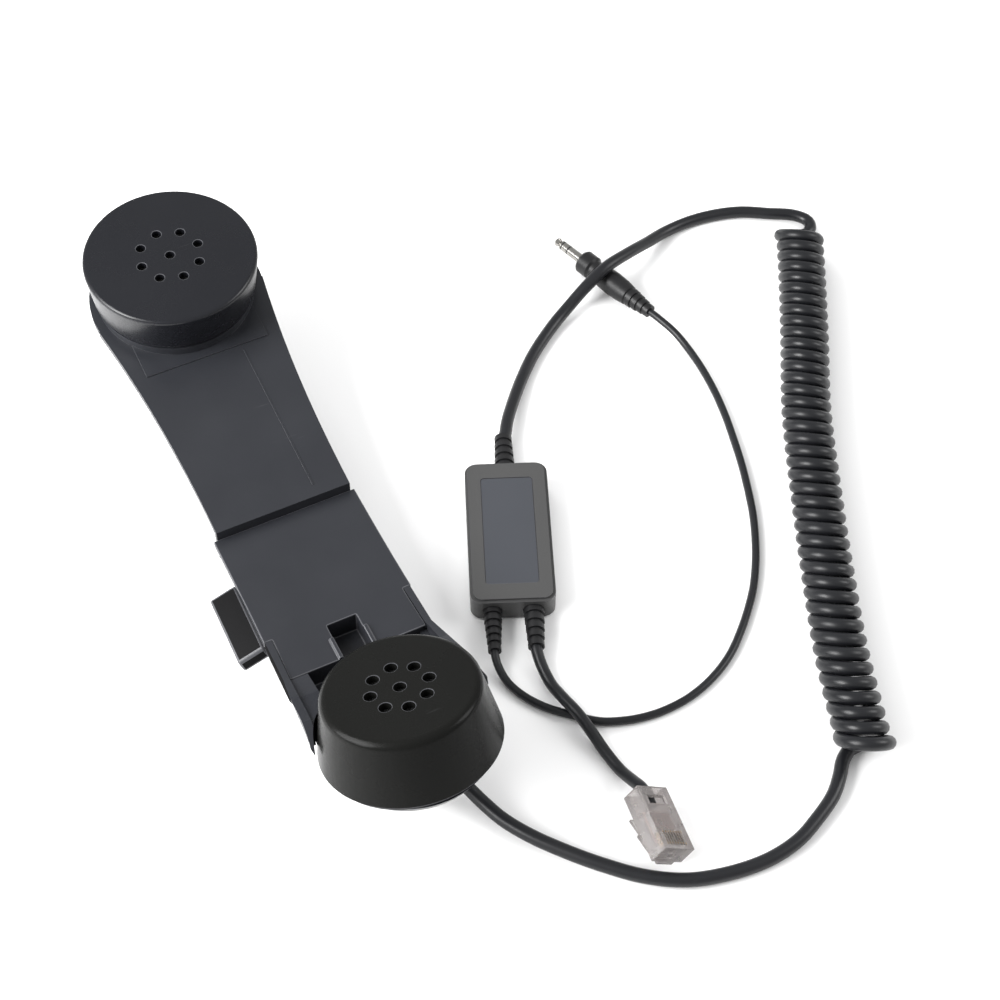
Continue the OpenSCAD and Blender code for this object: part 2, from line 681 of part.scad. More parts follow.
module box_base() color(dark) at_box() difference() {
  union() {
    translate([0, 0, 0.9]) round_box(box_w, box_len, box_split - 0.9, box_edge_r);
    round_box(box_w - 1.8, box_len - 1.8, 2, box_edge_r - 0.9);
  }
  translate([0, 0, box_wall]) round_box(box_w - 2 * box_wall, box_len - 2 * box_wall, box_t,
    box_edge_r - box_wall);
  port_holes();
  for (x = [-1, 1]) for (y = [-1, 1]) translate([x * 8.4, y * 19, -1]) {
    cylinder(r = 1.1, h = 4);
    cylinder(r = 1.9, h = 2);
  }
}

module box_panel() color([0.2, 0.2, 0.22]) at_box() translate([0, 0, box_t - 0.5])
  round_box(16.8, 42.4, 0.3, 1.1);

module box_board() color(board_green) at_box() translate([0, 0, 4.2])
  round_box(15, 40, 1.2, 1);

module box_parts() color("darkslategray") at_box() {
  translate([0, 6, 5.4]) translate([-4.5, -5, 0]) cube([9, 10, 2.6]);
  translate([0, -8, 5.4]) cylinder(r = 2.6, h = 2.6);
  for (y = [-16, -13, 14, 17]) translate([-3, y - 0.6, 5.4]) cube([6, 1.2, 1]);
}

module box_screws() color(silver) at_box() for (x = [-1, 1]) for (y = [-1, 1])
  translate([x * 8.4, y * 19, 0.2]) {
    cylinder(r = 1.05, h = 3.9);
    cylinder(r = 1.8, h = 0.8);
  }

// A ribbed strain relief along +Z from a wall, tapering to its tip
module relief(base_r, tip_r, length, bore_r, ribs) {
  pitch = (length - 2) / ribs;
  difference() {
    rotate_extrude() polygon(concat([[0, -2.6], [base_r + 0.5, -2.6], [base_r + 0.5, -1.7],
      [base_r - 0.2, -1.7], [base_r - 0.2, 0]],
      [for (i = [0 : ribs - 1]) let (r = base_r - (base_r - tip_r) * i / ribs, z = i * pitch)
        each [[r, z + 0.1], [r, z + 0.62 * pitch], [r - 0.7, z + 0.66 * pitch], [r - 0.7, z + pitch]]],
      [[tip_r, length - 1.9], [tip_r, length], [0, length]]));
    translate([0, 0, -4]) cylinder(r = bore_r + 0.05, h = length + 6);
  }
}

module at_port(i) at_box() translate([box_ports[i].x, box_ports[i].y * box_len / 2, relief_z])
  rotate([-box_ports[i].y * 90, 0, 0]) children();

module box_inlet_relief() color(soft_black) at_port(0) relief(3.4, 2.9, 14.6, cord_r, 4);
module box_jack_relief() color(soft_black) at_port(1) relief(3, 2.1, 15, jack_lead_r, 5);
module box_plug_relief() color(soft_black) at_port(2) relief(3.3, 2.6, 14, plug_lead_r, 4);

module jack_lead() color(dark) tube(jack_route, jack_lead_r);

module at_jack() aim(jack_from, jack_to) children();
jack_grip_len = norm(jack_to - jack_from);

module jack_grip() color(soft_black) at_jack() difference() {
  rotate_extrude() polygon(concat([[0, 0]],
    [for (i = [0 : 3]) each [[2.3 + i * 0.35, i * 2.6], [2.4 + i * 0.35, i * 2.6 + 1.5],
      [1.9 + i * 0.35, i * 2.6 + 1.6], [2 + i * 0.35, i * 2.6 + 2.5]]],
    [[3.6, 10.6], [4.1, 14], [4.3, 19], [4, 24], [3.5, jack_grip_len - 7.2],
      [3.6, jack_grip_len - 5.8], [4.3, jack_grip_len - 5], [4.3, jack_grip_len - 0.7],
      [3.8, jack_grip_len], [0, jack_grip_len]]));
  translate([0, 0, -1]) cylinder(r = jack_lead_r + 0.05, h = 22);
  translate([0, 0, jack_grip_len - 6]) cylinder(r = 1.6, h = 8);
}

module jack_sleeve() color(silver) at_jack() translate([0, 0, jack_grip_len]) difference() {
  union() {
    cylinder(r = 2.6, h = 0.8);
    cylinder(r = jack_r, h = 6.6);
  }
  translate([0, 0, -1]) cylinder(r = 1.1, h = 10);
}

module jack_ring() color(silver) at_jack() translate([0, 0, jack_grip_len + 7.2]) difference() {
  cylinder(r = jack_r, h = 2.4);
  translate([0, 0, -1]) cylinder(r = 1.1, h = 5);
}

module jack_tip() color(silver) at_jack() translate([0, 0, jack_grip_len]) rotate_extrude()
  polygon([[0, 10.2], [jack_r, 10.2], [jack_r, 10.7], [1.15, 11.6], [1.7, 12.6], [1.5, 13.2],
    [0.5, jack_len], [0, jack_len]]);

module jack_core() color(black) at_jack() translate([0, 0, jack_grip_len]) {
  translate([0, 0, -5.8]) cylinder(r = 1.05, h = 16);
  for (z = [6.6, 9.6]) translate([0, 0, z]) cylinder(r = jack_r, h = 0.6);
}

module plug_lead() color(dark) tube(plug_route, plug_lead_r);

// The clear shell: cable mouth behind, wire comb and contact slots in front
module plug_shell() color([0.85, 0.85, 0.88]) at_plug() difference() {
  union() {
    translate([-plug_w / 2, 0, -plug_h / 2]) cube([plug_w, plug_len, plug_h]);
    translate([-3.1, plug_len - 4, -plug_h / 2 - 1.4]) cube([6.2, 4, 1.6]);
  }
  translate([-4.6, -1, -2]) cube([9.2, 9.4, 4]);
  translate([-4.2, 8, -0.7]) cube([8.4, 10.4, 1.5]);
  for (i = [0 : 7]) translate([(i - 3.5) * 1.02 - 0.2, plug_len - 6.4, 0]) cube([0.4, 5, 4]);
  // the wedge that grips the cable's sheath
  translate([-3.6, 3, 1.8]) cube([7.2, 3, 2]);
  // slot for the latch's root
  translate([-4, plug_len - 4.2, -plug_h / 2 - 2]) cube([8, 3.1, 1.2]);
}

module plug_latch() color([0.85, 0.85, 0.88]) at_plug()
  translate([0, plug_len - 2.2, -plug_h / 2 - 1.5]) {
    rotate([0, 90, 0]) translate([0, 0, -3]) cylinder(r = 0.4, h = 6);
    rotate([13, 0, 0]) {
      translate([-3, -9, -0.4]) cube([6, 9, 0.8]);
      translate([-1.7, -15.6, -0.4]) cube([3.4, 6.8, 0.8]);
    }
  }

module plug_contacts() color(gold) at_plug() for (i = [0 : 7])
  translate([(i - 3.5) * 1.02 - 0.17, plug_len - 6.2, 0.8]) difference() {
    cube([0.34, 4.4, 2.4]);
    translate([-1, 0.6, 1.9]) cube([3, 3.2, 2]);
  }

module plug_wires() color("coral") at_plug() for (i = [0 : 7])
  translate([(i - 3.5) * 1.02, 7, 0]) rotate([-90, 0, 0]) cylinder(r = 0.42, h = 10.8);

back_shell();
ear_cover();
grip_cover();
ear_cap();
ear_cap_seal();
ear_dust_disc();
earphone_case();
earphone_grille();
earphone_cone();
earphone_magnet();
mouth_housing();
mouth_cap();
mouth_cap_seal();
mouth_dust_disc();
microphone_case();
microphone_grille();
microphone_element();
key_plate();
key_block();
key_pin();
key_seal();
switch_body();
switch_plunger();
switch_spring();
switch_bracket();
terminal_board();
terminal_screws();
ear_wires();
mouth_wires();
switch_wires();
shell_screws();
cord_gland();
cord_clamp();
clamp_screws();
handset_cord();
curl_cord();
box_cord();
box_top();
box_base();
box_panel();
box_board();
box_parts();
box_screws();
box_inlet_relief();
box_jack_relief();
box_plug_relief();
jack_lead();
jack_grip();
jack_sleeve();
jack_ring();
jack_tip();
jack_core();
plug_lead();
plug_shell();
plug_latch();
plug_contacts();
plug_wires();
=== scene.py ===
import bpy
import json
import math
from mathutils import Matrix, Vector


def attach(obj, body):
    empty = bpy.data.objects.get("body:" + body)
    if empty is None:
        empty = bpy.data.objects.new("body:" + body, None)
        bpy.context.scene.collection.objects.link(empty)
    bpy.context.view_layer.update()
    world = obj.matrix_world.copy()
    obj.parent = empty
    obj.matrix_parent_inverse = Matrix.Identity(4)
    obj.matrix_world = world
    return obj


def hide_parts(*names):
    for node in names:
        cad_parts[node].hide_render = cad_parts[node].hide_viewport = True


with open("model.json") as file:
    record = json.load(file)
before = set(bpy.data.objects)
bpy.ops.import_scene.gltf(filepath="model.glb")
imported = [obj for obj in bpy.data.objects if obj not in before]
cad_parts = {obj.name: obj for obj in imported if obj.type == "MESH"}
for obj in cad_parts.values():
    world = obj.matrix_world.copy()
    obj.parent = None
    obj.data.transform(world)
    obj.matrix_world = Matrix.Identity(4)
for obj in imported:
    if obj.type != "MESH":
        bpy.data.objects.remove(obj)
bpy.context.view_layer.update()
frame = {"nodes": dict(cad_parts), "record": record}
nodes = frame["nodes"]
subparts = frame["record"]["subparts"]
mm = 0.001


def deselectAll():
    if bpy.context.object and bpy.context.object.mode != "OBJECT":
        bpy.ops.object.mode_set(mode="OBJECT")
    bpy.ops.object.select_all(action="DESELECT")


def makeActive(piece):
    deselectAll()
    piece.select_set(True)
    bpy.context.view_layer.objects.active = piece


# turns a camera or a lamp towards a place
def aimAt(thing, target):
    aim = Vector(target) - thing.location
    thing.rotation_euler = aim.to_track_quat("-Z", "Y").to_euler()


# camera, above the mouth end and a little to the key side
cameraSetup = {"location": (-0.10685, -0.37095, 0.521), "target": (0.07388, -0.00622, 0.0),
               "lens": 72, "sensor": 36, "nearest": 0.01, "farthest": 20}
deselectAll()
bpy.ops.object.camera_add(location=cameraSetup["location"])
camera = bpy.context.object
aimAt(camera, cameraSetup["target"])
camera.data.lens = cameraSetup["lens"]
camera.data.sensor_width = cameraSetup["sensor"]
camera.data.clip_start = cameraSetup["nearest"]
camera.data.clip_end = cameraSetup["farthest"]
bpy.context.scene.camera = camera
print("camera placed")


# a smooth line through listed points
def smoothRoute(points, stepLength=1.2):
    pts = [Vector(p) for p in points]
    pts = [pts[0] * 2 - pts[1]] + pts + [pts[-1] * 2 - pts[-2]]
    line = []
    for a, b, c, d in zip(pts, pts[1:], pts[2:], pts[3:]):
        steps = max(2, round((c - b).length / stepLength))
        for k in range(steps):
            t = k / steps
            line.append(0.5 * (2 * b + (c - a) * t + (2 * a - 5 * b + 4 * c - d) * t * t
                               + (3 * b - a - 3 * c + d) * t ** 3))
    line.append(pts[-2])
    return line


# one open cord along a line given in millimetres
def makeCord(name, line, radius):
    curve = bpy.data.curves.new(name, "CURVE")
    curve.dimensions = "3D"
    curve.bevel_depth = 1  # each point's own radius gives the thickness
    curve.bevel_resolution = 4
    curve.use_fill_caps = True
    spline = curve.splines.new("POLY")
    spline.points.add(len(line) - 1)
    for point, place in zip(spline.points, line):
        point.co = (*(Vector(place) * mm), 1)
        point.radius = radius * mm
    spline.use_smooth = True
    cord = bpy.data.objects.new(name, curve)
    bpy.context.collection.objects.link(cord)
    length = sum((b - a).length for a, b in zip(line, line[1:]))
    print(name, "runs", round(length), "mm")
    return cord


# main cord: out of the handset, through the curly part and on to the box
curl = {"turns": 41, "coilRadius": 6.35, "cordRadius": 2.15, "pointsPerTurn": 24, "stepLength": 1.0,
        "firstFlare": 1.2, "lastFlare": 0.8, "lean": 0.8}
handsetRoute = [(13.4, -95.4, 6.8), (16, -101, 4.4), (18.5, -107.5, 2.7), (21.5, -115, 2.2),
                (26.5, -123.5, 2.2), (33, -132, 2.2), (40.5, -140.5, 2.2), (49.5, -149, 2.2),
                (60, -155.5, 2.2), (72, -159, 2.2), (84, -160.2, 2.2), (95, -158.7, 2.2),
                (105, -154.5, 2.2), (112, -150.6, 2.2), (117, -146.2, 2.2), (120.9, -141.9, 2.2),
                (124.6, -139.4, 2.2)]
curlRoute = [(126.6, -144, 8.5), (138, -113, 8.5), (150, -86, 8.5), (164, -56.5, 8.5),
             (180, -24.5, 8.5), (196.5, 3.5, 8.5), (213, 32, 8.5), (222.8, 49.8, 8.5)]
boxRoute = [(229.1, 53.5, 2.2), (232.2, 55.6, 2.2), (232.9, 59.8, 2.2), (229.2, 64.6, 2.2),
            (222, 68.9, 2.2), (213.5, 74, 2.2), (204, 77, 2.2), (193.5, 78.2, 2.2), (183, 77, 2.7),
            (173, 73, 5.2), (162, 68, 9), (151, 63.7, 11), (141.5, 60.8, 8.2), (133, 58, 4.4),
            (124, 53.5, 2.5), (113, 45.5, 2.2), (104, 37, 2.4), (96, 28, 3.4), (90, 20.5, 4.3),
            (87, 16, 4.4), (84.5, 12.5, 4.4)]


# the helix round curlRoute, each turn leaning back over the one before it
def curlyLine():
    centre = smoothRoute(curlRoute, curl["stepLength"])
    travelled = [0.0]
    for a, b in zip(centre, centre[1:]):
        travelled.append(travelled[-1] + (b - a).length)
    count = curl["turns"] * curl["pointsPerTurn"]
    up = Vector((0, 0, 1))
    line = []
    for i in range(count + 1):
        along = i / count * travelled[-1]
        k = max(1, min(len(centre) - 1, next((j for j, t in enumerate(travelled) if t >= along), 1)))
        f = (along - travelled[k - 1]) / (travelled[k] - travelled[k - 1])
        place = centre[k - 1].lerp(centre[k], f)
        forward = (centre[min(k + 1, len(centre) - 1)] - centre[max(k - 2, 0)]).normalized()
        side = forward.cross(up).normalized()
        turn = i / curl["pointsPerTurn"]
        angle = 2 * math.pi * turn - math.pi / 2
        flare = (curl["firstFlare"] * max(0, 1 - turn)
                 + curl["lastFlare"] * max(0, 1 - (curl["turns"] - turn)))
        line.append(place + side * (curl["coilRadius"] + flare) * math.cos(angle)
                    + (up - forward * curl["lean"]) * curl["coilRadius"] * math.sin(angle))
    return line


mainLine = smoothRoute(handsetRoute) + curlyLine() + smoothRoute(boxRoute)
mainCord = makeCord("mainCord", mainLine, curl["cordRadius"])
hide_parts("handset_cord", "curl_cord", "box_cord")
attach(mainCord, "handset")

# thin lead from the box to the jack plug
jackCord = {"radius": 1.3}
jackRoute = [(46.3, -58, 4.4), (45.3, -60.1, 4.4), (44.1, -62.8, 4.3), (43.4, -67, 3),
             (43.9, -72.5, 1.7), (46.3, -79, 1.35), (50.5, -85.5, 1.35), (56, -91, 1.35),
             (62.5, -96.8, 1.35), (70, -100.2, 1.35), (78, -102, 1.35), (86, -102.2, 1.35),
             (94, -101, 1.35), (102.5, -98, 1.35), (110.5, -93.5, 1.35), (117.5, -87.8, 1.35),
             (124, -81.5, 1.35), (130, -74.8, 1.35), (135.5, -67, 1.35), (140.5, -58.5, 1.35),
             (145, -49.5, 1.35), (149, -39.5, 1.35), (152.7, -29, 1.35), (155.8, -18.5, 1.35),
             (158.6, -8, 1.35), (160.8, 3, 1.35), (162.1, 14, 1.35), (162.3, 24, 1.6),
             (161.2, 31.5, 2.9), (158.9, 38.2, 4.2), (156.9, 44.9, 4.3)]
jackLead = makeCord("jackLead", smoothRoute(jackRoute), jackCord["radius"])
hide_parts("jack_lead")
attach(jackLead, "handset")

# thicker lead from the box to the clear plug
plugCord = {"radius": 1.85}
plugRoute = [(58.2, -62, 4.4), (57.6, -64.4, 4.4), (56.4, -67.1, 4.3), (55.5, -72.5, 3.2),
             (55.3, -79, 2.4), (55.8, -86, 3.9), (57, -93.5, 4.75), (58, -100.5, 3.6),
             (58.9, -107.5, 2.1), (59.8, -115, 2.4), (60.5, -121, 5), (60.9, -125.5, 7.6),
             (60.8, -128, 8.2), (60.2, -133, 8.2)]
plugLead = makeCord("plugLead", smoothRoute(plugRoute), plugCord["radius"])
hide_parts("plug_lead")
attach(plugLead, "handset")
print("cords laid")


# shader helpers
def newMaterial(name):
    mat = bpy.data.materials.new(name)
    mat.use_nodes = True
    tree = mat.node_tree
    return mat, tree, tree.nodes["Principled BSDF"]


def addNode(tree, kind, **settings):
    node = tree.nodes.new(kind)
    for key, value in settings.items():
        setattr(node, key, value)
    return node


def setInputs(node, **values):
    for key, value in values.items():
        node.inputs[key].default_value = value


def addNoise(tree, **values):
    noise = addNode(tree, "ShaderNodeTexNoise")
    setInputs(noise, **values)
    return noise


def addRange(tree, **values):
    mapRange = addNode(tree, "ShaderNodeMapRange")
    setInputs(mapRange, **values)
    return mapRange


def addBlend(tree, first, second):
    blend = addNode(tree, "ShaderNodeMix", data_type="RGBA")
    setInputs(blend, A=(*first, 1), B=(*second, 1))
    return blend


def addBump(tree, strength, depth):
    bump = addNode(tree, "ShaderNodeBump")
    setInputs(bump, Strength=strength, Distance=depth)
    return bump


def newGroup(name, inputs, outputs):
    group = bpy.data.node_groups.new(name, "ShaderNodeTree")
    for socketName, value in inputs.items():
        socket = group.interface.new_socket(name=socketName, in_out="INPUT",
                                            socket_type="NodeSocketFloat")
        socket.default_value = value
    for socketName in outputs:
        group.interface.new_socket(name=socketName, in_out="OUTPUT", socket_type="NodeSocketFloat")
    return group, addNode(group, "NodeGroupInput"), addNode(group, "NodeGroupOutput")


def placeGroup(tree, group, **values):
    node = addNode(tree, "ShaderNodeGroup", node_tree=group)
    setInputs(node, **values)
    return node


# moulded grain: a fine height with a slow sag under it
def buildGrain():
    group, start, end = newGroup("mouldedGrain", {"Size": 900.0, "Sag": 30.0, "Sag Amount": 0.3},
                                 ["Height"])
    link = group.links.new
    coords = addNode(group, "ShaderNodeTexCoord")
    fine = addNoise(group, Detail=4)
    slow = addNoise(group, Detail=1)
    mix = addNode(group, "ShaderNodeMath", operation="MULTIPLY_ADD")
    link(coords.outputs["Object"], fine.inputs["Vector"])
    link(coords.outputs["Object"], slow.inputs["Vector"])
    link(start.outputs["Size"], fine.inputs["Scale"])
    link(start.outputs["Sag"], slow.inputs["Scale"])
    link(slow.outputs["Fac"], mix.inputs[0])
    link(start.outputs["Sag Amount"], mix.inputs[1])
    link(fine.outputs["Fac"], mix.inputs[2])
    link(mix.outputs[0], end.inputs["Height"])
    return group


# handling marks: soft smears that change the sheen, and rare fine scratches
def buildHandling():
    group, start, end = newGroup(
        "handlingMarks",
        {"Smear Size": 40.0, "Low": 0.35, "High": 0.5, "Scratch Amount": 0.5},
        ["Roughness", "Scratch"])
    link = group.links.new
    coords = addNode(group, "ShaderNodeTexCoord")
    smear = addNoise(group, Detail=5, Roughness=0.62)
    spread = addRange(group, **{"From Min": 0.3, "From Max": 0.7})
    link(coords.outputs["Object"], smear.inputs["Vector"])
    link(start.outputs["Smear Size"], smear.inputs["Scale"])
    link(smear.outputs["Fac"], spread.inputs["Value"])
    link(start.outputs["Low"], spread.inputs["To Min"])
    link(start.outputs["High"], spread.inputs["To Max"])
    link(spread.outputs["Result"], end.inputs["Roughness"])
    # scratches are long thin streaks, kept to a few patches
    stretch = addNode(group, "ShaderNodeMapping")
    setInputs(stretch, Rotation=(0.3, 0.2, 0.7), Scale=(60, 900, 900))
    lines = addNoise(group, Scale=1, Detail=2)
    narrow = addRange(group, **{"From Min": 0.7, "From Max": 0.8})
    patches = addNoise(group, Scale=55)
    rare = addRange(group, **{"From Min": 0.56, "From Max": 0.7})
    both = addNode(group, "ShaderNodeMath", operation="MULTIPLY")
    amount = addNode(group, "ShaderNodeMath", operation="MULTIPLY")
    link(coords.outputs["Object"], stretch.inputs["Vector"])
    link(stretch.outputs["Vector"], lines.inputs["Vector"])
    link(coords.outputs["Object"], patches.inputs["Vector"])
    link(lines.outputs["Fac"], narrow.inputs["Value"])
    link(patches.outputs["Fac"], rare.inputs["Value"])
    link(narrow.outputs["Result"], both.inputs[0])
    link(rare.outputs["Result"], both.inputs[1])
    link(both.outputs[0], amount.inputs[0])
    link(start.outputs["Scratch Amount"], amount.inputs[1])
    link(amount.outputs[0], end.inputs["Scratch"])
    return group


grainGroup = buildGrain()
handlingGroup = buildHandling()

moulding = {"smearSize": 40.0, "sagSize": 26.0, "toneSize": 22, "toneDetail": 3,
            "scratchColour": (0.22, 0.22, 0.23), "bumpDepth": 0.0004}


# moulded plastic or rubber, with its own grain, sheen and marks
def mouldedMaterial(name, colour, pale, roughness, grain=900, bump=0.05, sag=0.3, scratch=0.4,
                    specular=0.5):
    mat, tree, shader = newMaterial(name)
    link = tree.links.new
    marks = placeGroup(tree, handlingGroup, **{"Smear Size": moulding["smearSize"],
                                               "Low": roughness[0], "High": roughness[1],
                                               "Scratch Amount": scratch})
    height = placeGroup(tree, grainGroup, **{"Size": grain, "Sag": moulding["sagSize"],
                                             "Sag Amount": sag})
    tone = addNoise(tree, Scale=moulding["toneSize"], Detail=moulding["toneDetail"])
    coords = addNode(tree, "ShaderNodeTexCoord")
    shade = addBlend(tree, colour, pale)
    worn = addNode(tree, "ShaderNodeMix", data_type="RGBA")
    setInputs(worn, B=(*moulding["scratchColour"], 1))
    bumpNode = addBump(tree, bump, moulding["bumpDepth"])
    link(coords.outputs["Object"], tone.inputs["Vector"])
    link(tone.outputs["Fac"], shade.inputs["Factor"])
    link(shade.outputs["Result"], worn.inputs["A"])
    link(marks.outputs["Scratch"], worn.inputs["Factor"])
    link(worn.outputs["Result"], shader.inputs["Base Color"])
    link(marks.outputs["Roughness"], shader.inputs["Roughness"])
    link(height.outputs["Height"], bumpNode.inputs["Height"])
    link(bumpNode.outputs["Normal"], shader.inputs["Normal"])
    setInputs(shader, **{"Specular IOR Level": specular})
    return mat


brushed = {"stretch": (300, 300, 4000), "lineDetail": 3, "stainSize": 320, "stainDetail": 4,
           "bump": 0.03, "bumpDepth": 0.0001}


# bare or plated metal with fine brushing and tarnish
def metalMaterial(name, colour, dull, roughness):
    mat, tree, shader = newMaterial(name)
    link = tree.links.new
    coords = addNode(tree, "ShaderNodeTexCoord")
    stretch = addNode(tree, "ShaderNodeMapping")
    setInputs(stretch, Scale=brushed["stretch"])
    lines = addNoise(tree, Scale=1, Detail=brushed["lineDetail"])
    stain = addNoise(tree, Scale=brushed["stainSize"], Detail=brushed["stainDetail"])
    tint = addBlend(tree, colour, dull)
    spread = addRange(tree, **{"To Min": roughness[0], "To Max": roughness[1]})
    bumpNode = addBump(tree, brushed["bump"], brushed["bumpDepth"])
    link(coords.outputs["Object"], stretch.inputs["Vector"])
    link(stretch.outputs["Vector"], lines.inputs["Vector"])
    link(coords.outputs["Object"], stain.inputs["Vector"])
    link(stain.outputs["Fac"], tint.inputs["Factor"])
    link(tint.outputs["Result"], shader.inputs["Base Color"])
    link(lines.outputs["Fac"], spread.inputs["Value"])
    link(spread.outputs["Result"], shader.inputs["Roughness"])
    link(lines.outputs["Fac"], bumpNode.inputs["Height"])
    link(bumpNode.outputs["Normal"], shader.inputs["Normal"])
    setInputs(shader, Metallic=1.0)
    return mat


clearFinish = {"waveSize": 260, "waveDetail": 2, "roughness": (0.16, 0.34), "bump": 0.1,
               "bumpDepth": 0.0002, "pale": (0.6, 0.565, 0.555), "deep": (0.48, 0.45, 0.44),
               "transmission": 0.78, "ior": 1.45}


# clear moulded plastic, milky and slightly wavy
def clearMaterial(name):
    mat, tree, shader = newMaterial(name)
    link = tree.links.new
    coords = addNode(tree, "ShaderNodeTexCoord")
    wave = addNoise(tree, Scale=clearFinish["waveSize"], Detail=clearFinish["waveDetail"])
    spread = addRange(tree, **{"To Min": clearFinish["roughness"][0],
                               "To Max": clearFinish["roughness"][1]})
    bumpNode = addBump(tree, clearFinish["bump"], clearFinish["bumpDepth"])
    tint = addBlend(tree, clearFinish["pale"], clearFinish["deep"])
    link(coords.outputs["Object"], wave.inputs["Vector"])
    link(wave.outputs["Fac"], spread.inputs["Value"])
    link(wave.outputs["Fac"], bumpNode.inputs["Height"])
    link(wave.outputs["Fac"], tint.inputs["Factor"])
    link(tint.outputs["Result"], shader.inputs["Base Color"])
    link(spread.outputs["Result"], shader.inputs["Roughness"])
    link(bumpNode.outputs["Normal"], shader.inputs["Normal"])
    setInputs(shader, **{"Transmission Weight": clearFinish["transmission"],
                         "IOR": clearFinish["ior"]})
    return mat


# black plastics and rubbers
satinBlack = mouldedMaterial("satinBlackShell", (0.013, 0.0138, 0.0165), (0.019, 0.0202, 0.0245),
                             (0.3, 0.46), specular=0.34, scratch=0.1)
capBlack = mouldedMaterial("capBlack", (0.0052, 0.0056, 0.0072), (0.0085, 0.009, 0.0115),
                           (0.2, 0.34), specular=0.3, sag=0.5, scratch=0.08)
mouthBlack = mouldedMaterial("mouthCapBlack", (0.005, 0.0051, 0.0048), (0.0075, 0.0076, 0.007),
                             (0.2, 0.34), specular=0.08, sag=0.5, scratch=0.12)
keyBlack = mouldedMaterial("keyBlack", (0.003, 0.003, 0.0032), (0.005, 0.005, 0.0056),
                           (0.36, 0.5), specular=0.07, scratch=0.1)
cordBlack = mouldedMaterial("cordBlack", (0.006, 0.0064, 0.0078), (0.0105, 0.011, 0.013),
                            (0.32, 0.44), grain=700, bump=0.08, sag=0.1, scratch=0.05,
                            specular=0.34)
softBlack = mouldedMaterial("softBlack", (0.006, 0.006, 0.0065), (0.01, 0.01, 0.011),
                            (0.36, 0.5), grain=1200, bump=0.1, specular=0.34)
clothBlack = mouldedMaterial("clothBlack", (0.01, 0.01, 0.01), (0.02, 0.02, 0.02),
                             (0.8, 0.95), grain=2600, bump=0.6, scratch=0.0)
chipBlack = mouldedMaterial("chipBlack", (0.02, 0.02, 0.022), (0.03, 0.03, 0.032), (0.4, 0.55))
insulatorBlack = mouldedMaterial("insulatorBlack", (0.015, 0.015, 0.015), (0.02, 0.02, 0.02),
                                 (0.2, 0.3))
wornEdge = mouldedMaterial("wornEdge", (0.02, 0.021, 0.024), (0.09, 0.091, 0.1), (0.26, 0.42),
                           scratch=0.8, specular=0.45)

# greys and colours
boxGrey = mouldedMaterial("boxGrey", (0.044, 0.044, 0.044), (0.053, 0.053, 0.053),
                          (0.28, 0.4), specular=0.4, scratch=0.1)
panelGrey = mouldedMaterial("panelGrey", (0.032, 0.035, 0.042), (0.042, 0.045, 0.053),
                            (0.3, 0.4), grain=1500, bump=0.02, scratch=0.1)
caseGrey = mouldedMaterial("caseGrey", (0.15, 0.15, 0.16), (0.2, 0.2, 0.2), (0.4, 0.55))
conePaper = mouldedMaterial("conePaper", (0.5, 0.38, 0.22), (0.6, 0.48, 0.3), (0.5, 0.7))
ivoryPlastic = mouldedMaterial("ivoryPlastic", (0.7, 0.66, 0.54), (0.78, 0.74, 0.63), (0.3, 0.45))
boardGreen = mouldedMaterial("boardGreen", (0.03, 0.16, 0.07), (0.05, 0.22, 0.1), (0.25, 0.4))
wireRed = mouldedMaterial("wireRed", (0.45, 0.03, 0.02), (0.52, 0.05, 0.03), (0.3, 0.45))
wireBlue = mouldedMaterial("wireBlue", (0.03, 0.08, 0.42), (0.05, 0.11, 0.5), (0.3, 0.45))
wireWhite = mouldedMaterial("wireWhite", (0.72, 0.72, 0.7), (0.8, 0.8, 0.77), (0.3, 0.45))
wireCoral = mouldedMaterial("wireCoral", (0.7, 0.5, 0.46), (0.78, 0.58, 0.52), (0.3, 0.45))

# metals and the clear plug
brightNickel = metalMaterial("brightNickel", (0.42, 0.41, 0.39), (0.3, 0.29, 0.27), (0.16, 0.3))
goldPlate = metalMaterial("goldPlate", (0.83, 0.58, 0.22), (0.72, 0.48, 0.18), (0.15, 0.3))
platedSteel = metalMaterial("platedSteel", (0.6, 0.6, 0.6), (0.48, 0.48, 0.48), (0.25, 0.42))
stampedMetal = metalMaterial("stampedMetal", (0.5, 0.5, 0.5), (0.42, 0.42, 0.42), (0.35, 0.5))
clearPlastic = clearMaterial("clearPlastic")

slotMaterials = {
    "shell_plastic": satinBlack, "box_plastic": boxGrey, "panel_film": panelGrey,
    "soft_rubber": softBlack, "cord_jacket": cordBlack, "dust_cloth": clothBlack,
    "case_plastic": caseGrey, "grille_metal": stampedMetal, "cone_paper": conePaper,
    "steel": platedSteel, "plunger_plastic": ivoryPlastic, "board": boardGreen,
    "gold_contact": goldPlate, "wire_red": wireRed, "wire_blue": wireBlue,
    "wire_white": wireWhite, "chip_epoxy": chipBlack, "jack_nickel": brightNickel,
    "jack_insulator": insulatorBlack, "clear_plastic": clearPlastic, "wire_coral": wireCoral}
ownMaterials = {"ear_cap": capBlack, "mouth_cap": mouthBlack, "key_plate": keyBlack,
                "key_block": keyBlack}


def giveMaterial(piece, mat):
    piece.data.materials.clear()
    piece.data.materials.append(mat)


slotNames = {part["node"]: part["material_slot"] for part in subparts}
for nodeName, slotName in slotNames.items():
    giveMaterial(nodes[nodeName], ownMaterials.get(nodeName, slotMaterials[slotName]))
for cord in (mainCord, jackLead, plugLead):
    giveMaterial(cord, cordBlack)
print("materials made")

softening = {"mergeWithin": 0.000002, "flatAngle": 0.6, "edgeAngle": 32, "segments": 2,
             "smoothAngle": 30}


